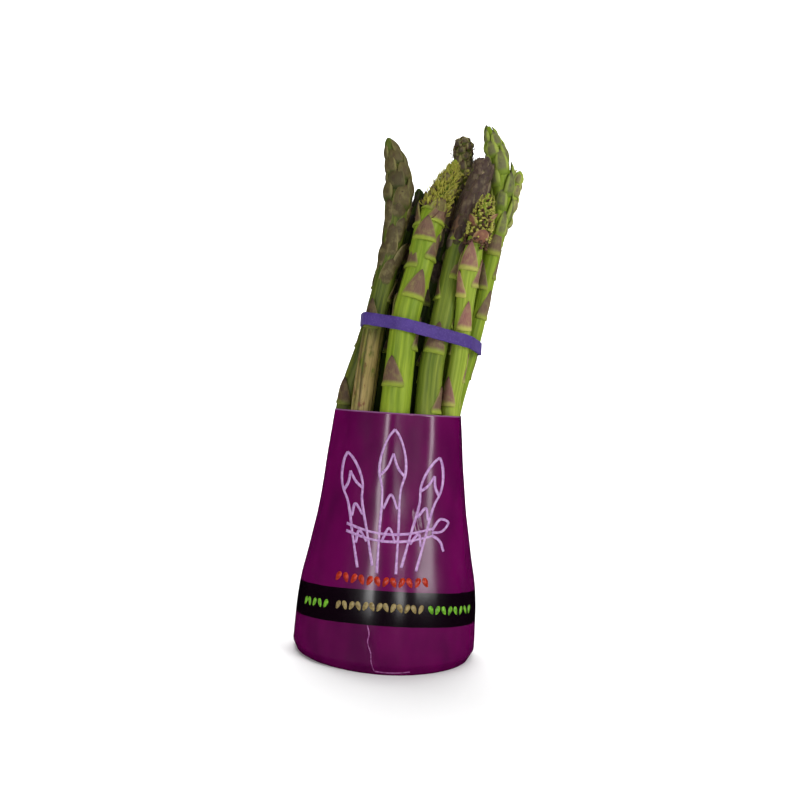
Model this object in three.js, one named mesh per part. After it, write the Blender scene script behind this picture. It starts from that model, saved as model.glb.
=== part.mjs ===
// A bundle of green asparagus, standing on its cut ends: fourteen spears, held by a rubber
// band below the heads and by a flared film sleeve round the lower half.
// Millimetres, +Z up. The origin is on the floor, at the middle of the sleeve's open foot.
// -Y is the side that the printed front of the sleeve faces.
import * as THREE from "three";

// ---- Driving dimensions ----

// The sleeve: a glued tube of film, wide at the butts and tight round the stems at its collar.
const SLEEVE_HEIGHT = 109;
const SLEEVE_RADIUS = 40.8; // at its widest, just above the foot
const SLEEVE_FOOT_INSET = 2.2; // the foot's edge is drawn in by this much
const FOOT_BEND_HEIGHT = 4; // and over this height
const FILM_WALL = 0.5;

// The rubber band: a flat ring that lies aslant round the stems.
const BAND_HEIGHT = 144.8; // its middle, on the bundle's own middle line
const BAND_WIDTH = 5.5;
const BAND_THICKNESS = 1.1;
const BAND_SLANT = Math.tan(THREE.MathUtils.degToRad(9.7)); // its +X side is the lower one
const BAND_PITCH = Math.tan(THREE.MathUtils.degToRad(2.3)); // and its -Y side the upper one

// The spears.
const HEAD_LENGTH = 50; // the bud-covered part below a spear's tip
const BUTT_FLARE = 1.3; // the cut end, as a share of the stem

const STEM_GAP = 0.35; // left between two spears that touch
const WRAP_GAP = 0.45; // left between the spears and what is wrapped round them

// Each spear: the diameters of its stem and of its head, and the line that its middle follows
// from the cut end to the tip as x, y, z. The lines are laid roughly here, and settle() moves
// them clear of each other. The `loose` spears, which are deep in the bundle or at its back,
// give way to the others.
const SPEARS = [
  {
    name: "spear_01", stem: 9.2, head: 10.5,
    line: [[-31.5, 2, 0], [-24.2, -2, 109], [-14.6, -4, 146], [-10, -2, 170], [-7.5, -1, 197]],
  },
  {
    name: "spear_02", stem: 9.2, head: 11.6,
    line: [[-25, -18, 0], [-16.5, -16, 109], [-13.3, -14, 145], [-8.1, -12, 181],
      [-6.2, -11, 204], [-7.6, -11, 218], [-12.5, -12, 231]],
  },
  {
    name: "spear_03", stem: 12, head: 12.4,
    line: [[-8, -28.5, 0], [-2, -22, 109], [0.5, -19.5, 152], [4.6, -17, 171],
      [8.3, -15, 194], [11.8, -13, 205], [15.2, -12, 213], [18.6, -12, 223]],
  },
  {
    name: "spear_04", stem: 9.8, head: 12.4,
    line: [[9.5, -28.5, 0], [12.6, -19.5, 112], [13.7, -18, 132], [16.7, -16, 148],
      [19.4, -13.5, 164], [21.6, -11.5, 180], [25, -10.5, 195], [28.8, -10, 210], [31.2, -10, 223]],
  },
  {
    name: "spear_05", stem: 7.8, head: 10.6,
    line: [[23, -20.5, 0], [21.8, -13, 109], [24.1, -13.5, 134], [25, -16.5, 157],
      [26.3, -19.5, 176], [30, -20, 193], [33, -20, 207]],
  },
  {
    name: "spear_06", stem: 8, head: 11.8,
    line: [[31, -4, 0], [25, -2, 60], [22.8, -1, 100], [24.6, -1, 115], [29, -1, 134],
      [33.9, -1, 159], [36.8, -2, 178], [40.5, -2, 202], [39.8, -2, 219], [32.6, -2, 242]],
  },
  {
    name: "spear_07", stem: 9, head: 10.4, loose: true,
    line: [[0, 0, 0], [4, -9, 109], [6.5, -5.5, 145], [12, -3, 175], [19, -2, 211]],
  },
  {
    name: "spear_08", stem: 10.4, head: 12,
    line: [[-12.5, 12, 0], [-13, 4.5, 109], [-7, 6.5, 145], [-1.8, 4, 175], [3.6, 3, 203],
      [2.2, 4, 213]],
  },
  {
    name: "spear_09", stem: 10, head: 11.8,
    line: [[13.5, 4, 0], [7, 3, 109], [11, 5, 145], [18, 6, 180], [22.3, 6, 207],
      [22.6, 6, 224], [22.3, 6, 238]],
  },
  {
    name: "spear_10", stem: 8.2, head: 9.8,
    line: [[28.5, 13, 0], [19, 11, 109], [26.5, 9.5, 145], [36, 10, 180], [43, 11, 203],
      [50.4, 11, 226]],
  },
  {
    name: "spear_11", stem: 9.8, head: 11, loose: true,
    line: [[-3, 29.5, 0], [-4, 15, 109], [4.5, 17, 145], [9, 18, 172], [12, 19, 203]],
  },
  {
    name: "spear_12", stem: 9, head: 10.2, loose: true,
    line: [[-14.5, -5, 0], [-8, -7, 109], [-3.5, -5, 145], [0, -4, 178]],
  },
  {
    name: "spear_13", stem: 9.4, head: 10.6, loose: true,
    line: [[-19.5, 22.5, 0], [-15, 14, 109], [-7.5, 16.5, 145], [-4, 18, 170], [-2, 20, 196]],
  },
  {
    name: "spear_14", stem: 9, head: 10.4, loose: true,
    line: [[14, 25.5, 0], [8, 15, 109], [16.5, 14.5, 145], [22, 16, 175], [27, 18, 209]],
  },
];

// ---- How finely the solids are faceted ----
const STEM_STEP = 11; // the most between two rings of a stem
const LEVEL_STEP = 5; // between two heights at which the spears are settled
const SPEAR_SIDES = 12;
const WRAP_SIDES = 72;
const SUPPORT_DIRECTIONS = 120;
const SETTLE_ROUNDS = 400;
const LOOSE_SHARE = 0.9; // of a move apart, what a loose spear takes from a firm one

const TAU = 2 * Math.PI;

// The value at `at` on a polyline of [position, value] pairs in rising order.
function along(pairs, at) {
  if (at <= pairs[0][0]) return pairs[0][1];
  for (let i = 1; i < pairs.length; i++) {
    const [a, va] = pairs[i - 1];
    const [b, vb] = pairs[i];
    if (at <= b) return va + ((vb - va) * (at - a)) / (b - a);
  }
  return pairs[pairs.length - 1][1];
}

// ---- Spears ----

// The head's outline: how far below the tip, as a share of HEAD_LENGTH, and the width there
// as a share of the head's width plus a share of the stem's.
const HEAD_OUTLINE = [
  { below: 0, head: 0.13, stem: 0 },
  { below: 0.05, head: 0.38, stem: 0 },
  { below: 0.16, head: 0.7, stem: 0 },
  { below: 0.32, head: 0.94, stem: 0 },
  { below: 0.5, head: 1, stem: 0 },
  { below: 0.75, head: 0.45, stem: 0.53 },
  { below: 1, head: 0, stem: 0.97 },
];
const NECK = HEAD_OUTLINE[HEAD_OUTLINE.length - 1];

function tipHeight(spear) {
  return spear.line[spear.line.length - 1][2];
}

function neckHeight(spear) {
  return tipHeight(spear) - NECK.below * HEAD_LENGTH;
}

// A spear's radius at height z: the head's outline, then a stem that thickens to its butt.
function radiusAt(spear, z) {
  if (z < neckHeight(spear)) {
    const share = THREE.MathUtils.lerp(BUTT_FLARE, NECK.stem, z / neckHeight(spear));
    return (share * spear.stem) / 2;
  }
  const widths = HEAD_OUTLINE.map(({ below, head, stem }) => [
    below,
    head * spear.head + stem * spear.stem,
  ]);
  return along(widths, (tipHeight(spear) - z) / HEAD_LENGTH) / 2;
}

// The heights of a spear's rings: even steps up the stem, then those of the head's outline.
function ringHeights(spear) {
  const neck = neckHeight(spear);
  const steps = Math.ceil(neck / STEM_STEP);
  const stem = Array.from({ length: steps }, (_, i) => (neck * i) / steps);
  const head = HEAD_OUTLINE.map(({ below }) => tipHeight(spear) - below * HEAD_LENGTH);
  return stem.concat(head.reverse());
}

// The laid line of a spear at height z, as a smooth curve through its points.
function laidAt(spear, z) {
  const p = spear.line;
  let i = 0;
  while (i < p.length - 2 && z > p[i + 1][2]) i++;
  const slope = (k, axis) => {
    const a = p[Math.max(k - 1, 0)];
    const b = p[Math.min(k + 1, p.length - 1)];
    return (b[axis] - a[axis]) / (b[2] - a[2]);
  };
  const h = p[i + 1][2] - p[i][2];
  const t = (z - p[i][2]) / h;
  const hermite = (axis) =>
    (2 * t ** 3 - 3 * t ** 2 + 1) * p[i][axis] +
    (t ** 3 - 2 * t ** 2 + t) * h * slope(i, axis) +
    (3 * t ** 2 - 2 * t ** 3) * p[i + 1][axis] +
    (t ** 3 - t ** 2) * h * slope(i + 1, axis);
  return new THREE.Vector2(hermite(0), hermite(1));
}

// Moves the spears apart, level by level, until no two are nearer than STEM_GAP. The moves are
// smoothed along each spear, so that a stem bends gently round its neighbours.
function settle(spears) {
  const top = Math.max(...spears.map(tipHeight));
  const levels = Array.from({ length: Math.ceil(top / LEVEL_STEP) + 1 }, (_, k) => k * LEVEL_STEP);
  const stems = spears.map((spear) => ({
    loose: spear.loose,
    middle: levels.map((z) => laidAt(spear, Math.min(z, tipHeight(spear)))),
    moved: levels.map(() => new THREE.Vector2()),
    radius: levels.map((z) => (z > tipHeight(spear) + LEVEL_STEP ? 0 : radiusAt(spear, z))),
  }));
  const between = new THREE.Vector2();
  const pushApart = (a, b, k) => {
    if (!a.radius[k] || !b.radius[k]) return;
    between.copy(b.middle[k]).add(b.moved[k]).sub(a.middle[k]).sub(a.moved[k]);
    const short = a.radius[k] + b.radius[k] + STEM_GAP - between.length();
    if (short <= 0) return;
    let share = 0.5;
    if (b.loose && !a.loose) share = LOOSE_SHARE;
    if (a.loose && !b.loose) share = 1 - LOOSE_SHARE;
    between.setLength(short);
    b.moved[k].addScaledVector(between, share);
    a.moved[k].addScaledVector(between, share - 1);
  };
  const smooth = ({ moved }) => {
    const before = moved.map((move) => move.clone());
    for (let k = 1; k < moved.length - 1; k++) {
      moved[k].add(before[k - 1]).add(before[k]).add(before[k + 1]).multiplyScalar(0.25);
    }
  };
  for (let round = 0; round < SETTLE_ROUNDS; round++) {
    stems.forEach((a, i) => {
      for (const b of stems.slice(i + 1)) levels.forEach((_, k) => pushApart(a, b, k));
    });
    if (round < SETTLE_ROUNDS / 2) stems.forEach(smooth);
  }
  stems.forEach(({ middle, moved }, i) => {
    spears[i].settled = middle.map((at, k) => at.add(moved[k]));
  });
}

// The settled middle of a spear at height z.
function middleAt({ settled }, z) {
  const level = Math.min(z / LEVEL_STEP, settled.length - 1.001);
  const k = Math.floor(level);
  return settled[k].clone().lerp(settled[k + 1], level - k);
}

// A closed surface over rings of points, all with the same number, that run anticlockwise seen
// from above. With `loop` the last ring joins the first, otherwise each end gets a flat cap.
function skin(rings, loop) {
  const sides = rings[0].length;
  const points = rings.flat();
  const index = [];
  const bands = loop ? rings.length : rings.length - 1;
  for (let k = 0; k < bands; k++) {
    const low = k * sides;
    const high = ((k + 1) % rings.length) * sides;
    for (let i = 0; i < sides; i++) {
      const next = (i + 1) % sides;
      index.push(low + i, low + next, high + next, low + i, high + next, high + i);
    }
  }
  if (!loop) {
    const last = (rings.length - 1) * sides;
    for (let i = 1; i < sides - 1; i++) {
      index.push(0, i + 1, i);
      index.push(last, last + i, last + i + 1);
    }
  }
  const geometry = new THREE.BufferGeometry().setFromPoints(points);
  geometry.setIndex(index);
  geometry.computeVertexNormals();
  return geometry;
}

// A ring of points round `middle`, at the radius and height that functions of the angle give.
function ringOf(sides, middle, radius, height) {
  return Array.from({ length: sides }, (_, i) => {
    const angle = (TAU * i) / sides;
    const r = radius(angle);
    return new THREE.Vector3(
      middle.x + r * Math.cos(angle),
      middle.y + r * Math.sin(angle),
      height(angle),
    );
  });
}

function spearGeometry(spear) {
  const rings = ringHeights(spear).map((z) => {
    const radius = radiusAt(spear, z);
    return ringOf(SPEAR_SIDES, middleAt(spear, z), () => radius, () => z);
  });
  return skin(rings, false);
}

// ---- What is wrapped round the spears ----

// The radius, at each angle round `middle`, of the tight outline round all the spears at
// height z: the outline that a stretched band would take.
function outlineAt(z, middle) {
  const present = SPEARS.filter((spear) => tipHeight(spear) > z).map((spear) => ({
    at: middleAt(spear, z).sub(middle),
    radius: radiusAt(spear, z),
  }));
  const supports = Array.from({ length: SUPPORT_DIRECTIONS }, (_, i) => {
    const turn = (TAU * i) / SUPPORT_DIRECTIONS;
    const towards = new THREE.Vector2(Math.cos(turn), Math.sin(turn));
    return { turn, reach: Math.max(...present.map(({ at, radius }) => at.dot(towards) + radius)) };
  });
  return (angle) => {
    const facing = supports.filter(({ turn }) => Math.cos(turn - angle) > 0.2);
    return Math.min(...facing.map(({ turn, reach }) => reach / Math.cos(turn - angle)));
  };
}

// How far the sleeve has gone from its round foot (0) to its tight collar (1), by height as a
// share of SLEEVE_HEIGHT. The butts hold its lowest quarter out.
const SLEEVE_TAPER = [
  [0, 0],
  [0.22, 0.05],
  [0.31, 0.13],
  [0.41, 0.3],
  [0.6, 0.59],
  [0.8, 0.82],
  [1, 1],
];
const SLEEVE_MIDDLE = new THREE.Vector2(0, 0);

function sleeveRings() {
  const collar = outlineAt(SLEEVE_HEIGHT, SLEEVE_MIDDLE);
  const shares = [0, FOOT_BEND_HEIGHT / SLEEVE_HEIGHT, 0.12, 0.22, 0.31, 0.41, 0.5, 0.6, 0.7, 0.8, 0.9, 1];
  return shares.map((share) => {
    const z = share * SLEEVE_HEIGHT;
    const stems = outlineAt(z, SLEEVE_MIDDLE);
    const inset = SLEEVE_FOOT_INSET * Math.max(0, 1 - z / FOOT_BEND_HEIGHT);
    const taper = along(SLEEVE_TAPER, share);
    const inner = (angle) => {
      const loose = THREE.MathUtils.lerp(SLEEVE_RADIUS - FILM_WALL, collar(angle) + WRAP_GAP, taper);
      return Math.max(loose - inset, stems(angle) + WRAP_GAP);
    };
    return { z, inner };
  });
}

function sleeveGeometry() {
  const rings = sleeveRings();
  const outside = rings.map(({ z, inner }) =>
    ringOf(WRAP_SIDES, SLEEVE_MIDDLE, (angle) => inner(angle) + FILM_WALL, () => z),
  );
  const inside = rings.map(({ z, inner }) => ringOf(WRAP_SIDES, SLEEVE_MIDDLE, inner, () => z));
  return skin([...outside, ...inside.reverse()], true);
}

// The middle of all the spears at height z.
function bundleMiddle(z) {
  const box = new THREE.Box2();
  for (const spear of SPEARS) {
    if (tipHeight(spear) <= z) continue;
    const at = middleAt(spear, z);
    const size = new THREE.Vector2(1, 1).multiplyScalar(radiusAt(spear, z));
    box.expandByPoint(at.clone().add(size));
    box.expandByPoint(at.sub(size));
  }
  return box.getCenter(new THREE.Vector2());
}

// One edge of the band, `offset` above its middle line and `out` from the stems.
function bandEdge(middle, offset, out) {
  const level = outlineAt(BAND_HEIGHT, middle);
  const heightAt = (angle) => {
    const fall = BAND_SLANT * Math.cos(angle) + BAND_PITCH * Math.sin(angle);
    return BAND_HEIGHT + offset - fall * level(angle);
  };
  const radiusHere = (angle) => outlineAt(heightAt(angle), middle)(angle) + WRAP_GAP + out;
  return ringOf(WRAP_SIDES, middle, radiusHere, heightAt);
}

function bandGeometry() {
  const middle = bundleMiddle(BAND_HEIGHT);
  const half = BAND_WIDTH / 2;
  return skin(
    [
      bandEdge(middle, -half, BAND_THICKNESS),
      bandEdge(middle, half, BAND_THICKNESS),
      bandEdge(middle, half, 0),
      bandEdge(middle, -half, 0),
    ],
    true,
  );
}

// ---- The bundle ----

const LOOKS = {
  spear: new THREE.MeshStandardMaterial({ color: 0x8a9a3c, roughness: 0.5, metalness: 0 }),
  film: new THREE.MeshStandardMaterial({ color: 0x6b0a58, roughness: 0.25, metalness: 0 }),
  rubber: new THREE.MeshStandardMaterial({ color: 0x5f46a0, roughness: 0.55, metalness: 0 }),
};

function piece(name, geometry, material) {
  const mesh = new THREE.Mesh(geometry, material);
  mesh.name = name;
  return mesh;
}

settle(SPEARS);

const bundle = new THREE.Group();
for (const spear of SPEARS) bundle.add(piece(spear.name, spearGeometry(spear), LOOKS.spear));
bundle.add(piece("sleeve", sleeveGeometry(), LOOKS.film));
bundle.add(piece("rubber_band", bandGeometry(), LOOKS.rubber));

export default bundle;
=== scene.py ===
import math

import bmesh
import bpy
import numpy as np
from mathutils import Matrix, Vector


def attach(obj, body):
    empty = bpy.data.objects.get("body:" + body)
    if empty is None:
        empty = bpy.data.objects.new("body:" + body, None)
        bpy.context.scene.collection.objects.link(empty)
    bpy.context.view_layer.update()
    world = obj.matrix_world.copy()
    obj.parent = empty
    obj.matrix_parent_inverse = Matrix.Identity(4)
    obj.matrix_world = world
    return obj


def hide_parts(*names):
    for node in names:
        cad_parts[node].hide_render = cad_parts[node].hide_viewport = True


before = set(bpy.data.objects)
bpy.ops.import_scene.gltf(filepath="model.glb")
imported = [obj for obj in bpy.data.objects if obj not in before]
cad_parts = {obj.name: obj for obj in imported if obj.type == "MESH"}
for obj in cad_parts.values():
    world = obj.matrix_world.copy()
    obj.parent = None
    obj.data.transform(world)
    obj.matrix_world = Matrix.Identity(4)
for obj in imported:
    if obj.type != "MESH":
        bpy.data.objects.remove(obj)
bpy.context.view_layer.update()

MM = 0.001
TAU = 2 * math.pi

# ---- The stems' own sizes ----
STEM_FIT = 1.0  # of the solid's radius
SPINE_STEP = 1.5 * MM
STEM_SIDES = 44
STEM_RIBS = 13.0
RIB_DEPTH = 0.07 * MM
GOLDEN_TURN = 137.5  # degrees from one leaf or scale round to the next above it

# ---- The sleeve and the band ----
SLEEVE_TOP = max(v.co.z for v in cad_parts["sleeve"].data.vertices)
FILM = 0.25 * MM
SLEEVE_SIDES = 300
SLEEVE_LEVELS = 120
FOOT_LEVELS = 16  # of those, the closer ones near the foot, up to this height
FOOT_HEIGHT = 12 * MM
FILM_RADIUS = 38 * MM  # about, at the front
SMOOTHING = 5  # degrees of bearing over which the solid's corners are rounded off
STRIPE = (16.75 * MM, 31.05 * MM)  # the lower and upper edge of the dark stripe
STRIPE_LIFT = 4.0 * MM  # how much higher it is at the front
BAND_STEPS = 240


# ---- Small helpers ----


def shade(red, green, blue):
    """A colour given as it looks, 0 to 255, turned into the linear values that shaders take."""
    channels = []
    for value in (red, green, blue):
        value /= 255
        channels.append(value / 12.92 if value <= 0.04045 else ((value + 0.055) / 1.055) ** 2.4)
    return (*channels, 1)


def mesh_object(name, vertices, faces, uvs=None):
    """A smooth-shaded mesh object. The uvs are one pair for each vertex."""
    mesh = bpy.data.meshes.new(name)
    mesh.from_pydata([tuple(map(float, v)) for v in vertices], [], faces)
    if uvs is not None:
        layer = mesh.uv_layers.new(name="UVMap")
        for loop in mesh.loops:
            layer.data[loop.index].uv = uvs[loop.vertex_index]
    mesh.shade_smooth()
    piece = bpy.data.objects.new(name, mesh)
    bpy.context.scene.collection.objects.link(piece)
    return piece


def outward(piece, merge):
    """Merges doubles and turns every face of a closed piece outwards."""
    shape = bmesh.new()
    shape.from_mesh(piece.data)
    bmesh.ops.remove_doubles(shape, verts=shape.verts, dist=merge)
    bmesh.ops.recalc_face_normals(shape, faces=shape.faces)
    shape.to_mesh(piece.data)
    shape.free()


def closed_mesh(name, vertices, faces, uvs=None, merge=1e-7):
    """A mesh object of a closed shape, its faces outwards."""
    piece = mesh_object(name, vertices, faces, uvs)
    outward(piece, merge)
    return piece


def ring_faces(rings, sides, first=0, closed=False):
    """Faces between rings of vertices that follow each other, from vertex `first` on."""
    faces = []
    for k in range(rings if closed else rings - 1):
        low, high = first + k * sides, first + (k + 1) % rings * sides
        for s in range(sides):
            after = (s + 1) % sides
            faces.append((low + s, low + after, high + after, high + s))
    return faces


def joined(pieces, name):
    """One object made of several, with their materials and attributes."""
    with bpy.context.temp_override(active_object=pieces[0], selected_editable_objects=pieces):
        bpy.ops.object.join()
    pieces[0].name = pieces[0].data.name = name
    return pieces[0]


def loose_rings(node):
    """A node's different vertices, by height, lowest first: {z: array of x, y}."""
    points = np.array([v.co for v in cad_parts[node].data.vertices])
    points = np.unique(np.round(points, 6), axis=0)
    rings = {}
    for x, y, z in points:
        key = next((level for level in rings if abs(level - z) < 1e-5), z)
        rings.setdefault(key, []).append((x, y))
    return {z: np.array(rings[z]) for z in sorted(rings)}


def smooth_through(at, known, values):
    """Values at `at` on a smooth curve through the known ones (rising), without overshoot."""
    known, values = np.asarray(known, float), np.asarray(values, float)
    steps = np.diff(known)
    rates = np.diff(values, axis=0) / steps.reshape(-1, *[1] * (values.ndim - 1))
    slopes = np.empty_like(values)
    slopes[0], slopes[-1] = rates[0], rates[-1]
    slopes[1:-1] = (rates[:-1] + rates[1:]) / 2
    cell = np.clip(np.searchsorted(known, at, side="right") - 1, 0, len(steps) - 1)
    wide = steps[cell]
    t = (np.asarray(at) - known[cell]) / wide
    shape = (-1, *[1] * (values.ndim - 1))
    t, wide = t.reshape(shape), wide.reshape(shape)
    return (
        (2 * t**3 - 3 * t**2 + 1) * values[cell]
        + (t**3 - 2 * t**2 + t) * wide * slopes[cell]
        + (3 * t**2 - 2 * t**3) * values[cell + 1]
        + (t**3 - t**2) * wide * slopes[cell + 1]
    )


# ---- Geometry Nodes ----


class Wiring:
    """A node tree, wired one node at a time."""

    def __init__(self, tree):
        self.nodes, self.links = tree.nodes, tree.links

    def put(self, value, socket):
        """Gives a socket a plain value, or links it to an output."""
        if isinstance(value, bpy.types.NodeSocket):
            self.links.new(value, socket)
        else:
            socket.default_value = value

    def add(self, kind, values=None, **settings):
        """Adds a node. `values` gives its inputs, by name or place, as values or as outputs."""
        made = self.nodes.new(kind)
        for setting, value in settings.items():
            setattr(made, setting, value)
        for key, value in (values or {}).items():
            self.put(value, made.inputs[key])
        return made

    def math(self, operation, *terms):
        return self.add("ShaderNodeMath", dict(enumerate(terms)), operation=operation).outputs[0]

    def vector(self, x=0.0, y=0.0, z=0.0):
        return self.add("ShaderNodeCombineXYZ", {"X": x, "Y": y, "Z": z}).outputs[0]

    def parts(self, vector):
        return self.add("ShaderNodeSeparateXYZ", {0: vector}).outputs

    def vector_math(self, operation, *terms, **values):
        values = dict(enumerate(terms)) | values
        return self.add("ShaderNodeVectorMath", values, operation=operation).outputs


class Tree(Wiring):
    """A Geometry Nodes tree with named inputs."""

    def __init__(self, name, inputs):
        self.group = bpy.data.node_groups.new(name, "GeometryNodeTree")
        super().__init__(self.group)
        self.group.is_modifier = True
        sockets = self.group.interface
        sockets.new_socket("Geometry", in_out="OUTPUT", socket_type="NodeSocketGeometry")
        sockets.new_socket("Geometry", in_out="INPUT", socket_type="NodeSocketGeometry")
        for label, kind in inputs.items():
            sockets.new_socket(label, in_out="INPUT", socket_type="NodeSocket" + kind)
        self.given = self.nodes.new("NodeGroupInput").outputs
        self.result = self.nodes.new("NodeGroupOutput").inputs[0]

    def live(self, sockets, name):
        """The socket of that name that a node's settings leave in use."""
        return next(s for s in sockets if s.name == name and s.enabled)

    def stored(self, geometry, name, value, data_type="FLOAT", domain="POINT"):
        kinds = {"data_type": data_type, "domain": domain}
        made = self.add("GeometryNodeStoreNamedAttribute", **kinds)
        for key, given in {"Geometry": geometry, "Name": name, "Value": value}.items():
            self.put(given, self.live(made.inputs, key))
        return made.outputs[0]

    def moved(self, geometry, **values):
        values = {"Geometry": geometry} | values
        return self.add("GeometryNodeSetPosition", values).outputs[0]

    def painted(self, geometry, material, **values):
        values = {"Geometry": geometry, "Material": material} | values
        return self.add("GeometryNodeSetMaterial", values).outputs[0]

    def turned(self, rotation, x=0.0, y=0.0, z=0.0):
        """A rotation, turned on about its own axes."""
        euler = self.add("FunctionNodeEulerToRotation", {0: self.vector(x, y, z)}).outputs[0]
        values = {"Rotation": rotation, "Rotate By": euler}
        made = self.add("FunctionNodeRotateRotation", values, rotation_space="LOCAL")
        return made.outputs[0]

    def faced(self, primary, first, secondary, second):
        """The rotation that points one axis along a vector, and another towards a second one."""
        return self.add(
            "FunctionNodeAxesToRotation",
            {"Primary Axis": first, "Secondary Axis": second},
            primary_axis=primary,
            secondary_axis=secondary,
        ).outputs[0]

    def copies(self, points, rotation, scale):
        """The template on every point."""
        template = self.add("GeometryNodeObjectInfo", {"Object": self.given["Template"]})
        values = {"Points": points, "Instance": template.outputs["Geometry"]}
        values |= {"Rotation": rotation, "Scale": scale}
        return self.add("GeometryNodeInstanceOnPoints", values).outputs[0]

    def realized(self, copies):
        return self.add("GeometryNodeRealizeInstances", {0: copies}).outputs[0]

    def finish(self, geometry):
        self.links.new(geometry, self.result)
        return self.group


def grown(tree, source, name, values):
    """The mesh object that a tree makes from a source object and the values of its inputs."""
    modifier = source.modifiers.new(name, "NODES")
    modifier.node_group = tree
    for item in tree.interface.items_tree:
        if item.in_out == "INPUT" and item.name in values:
            modifier[item.identifier] = values[item.name]
    source.update_tag()
    graph = bpy.context.evaluated_depsgraph_get()
    mesh = bpy.data.meshes.new_from_object(
        source.evaluated_get(graph), preserve_all_data_layers=True, depsgraph=graph
    )
    source.modifiers.remove(modifier)
    piece = bpy.data.objects.new(name, mesh)
    bpy.context.scene.collection.objects.link(piece)
    mesh.shade_smooth()
    return piece


def ribbed_stem_tree():
    """A stem along a curve, as thick as the curve's radius, with fine ribs and a cut end."""
    inputs = {"Sides": "Int", "Skin": "Material", "Cut Face": "Material"}
    inputs |= dict.fromkeys(("Ribs", "Rib Depth", "Shrivel", "Seed"), "Float")
    tree = Tree("ribbed stem", inputs)
    given = tree.given

    def captured(geometry, name, output):
        """A curve that keeps one of its spline parameters, and that parameter."""
        made = tree.add("GeometryNodeCaptureAttribute", {"Geometry": geometry})
        made.capture_items.new("FLOAT", name)
        tree.put(tree.add("GeometryNodeSplineParameter").outputs[output], made.inputs[name])
        return made.outputs[0], made.outputs[name]

    curve, length = captured(given["Geometry"], "along", "Length")
    circle = tree.add("GeometryNodeCurvePrimitiveCircle", {"Resolution": given["Sides"]})
    profile, around = captured(circle.outputs["Curve"], "around", "Factor")
    tube = tree.add(
        "GeometryNodeCurveToMesh", {"Curve": curve, "Profile Curve": profile, "Fill Caps": True}
    )
    if "Scale" in tube.inputs:
        tree.put(tree.add("GeometryNodeInputRadius").outputs[0], tube.inputs["Scale"])
    turn = tree.math("MULTIPLY", around, TAU)
    unrolled = tree.vector(
        tree.math("MULTIPLY", tree.math("COSINE", turn), 5 * MM),
        tree.math("MULTIPLY", tree.math("SINE", turn), 5 * MM),
        length,
    )
    twisted = tree.math("ADD", turn, tree.math("MULTIPLY", length, 4.0))
    rib = tree.math("SINE", tree.math("MULTIPLY", twisted, given["Ribs"]))
    shift = tree.vector_math("MULTIPLY", unrolled, (1, 1, 0.16))[0]
    lumps = tree.add(
        "ShaderNodeTexNoise",
        {"Vector": shift, "W": given["Seed"], "Scale": 260.0, "Detail": 2.0},
        noise_dimensions="4D",
    ).outputs[0]
    ribs = tree.math("MULTIPLY", rib, given["Rib Depth"])
    swell = tree.math("MULTIPLY", tree.math("SUBTRACT", lumps, 0.5), given["Shrivel"])
    normal = tree.add("GeometryNodeInputNormal").outputs[0]
    offset = tree.vector_math("SCALE", normal, Scale=tree.math("ADD", ribs, swell))[0]
    at = tree.parts(tree.add("GeometryNodeInputPosition").outputs[0])
    off_floor = tree.math("GREATER_THAN", at["Z"], 0.5 * MM)
    shaped = tree.moved(tube.outputs[0], Selection=off_floor, Offset=offset)
    foot = tree.math("LESS_THAN", length, 0.01 * MM)
    shaped = tree.moved(shaped, Selection=foot, Position=tree.vector(at["X"], at["Y"]))
    shaped = tree.stored(shaped, "grain", unrolled, "FLOAT_VECTOR")
    skinned = tree.painted(shaped, given["Skin"])
    downwards = tree.math("LESS_THAN", tree.parts(normal)["Z"], -0.9)
    return tree.finish(tree.painted(skinned, given["Cut Face"], Selection=downwards))


# A growth's values that are lengths, angles and plain numbers.
LENGTHS = ("Start", "First Step", "Least Step", "Length", "Least Radius", "Short Below Tip", "Sink")
ANGLES = ("First Turn", "Turn", "Lean", "Turn Jitter", "Lean Jitter", "Roll Jitter")
NUMBERS = ("Even Steps", "Step Shrink", "Width", "Depth", "Shortest", "Size Jitter")


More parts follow.
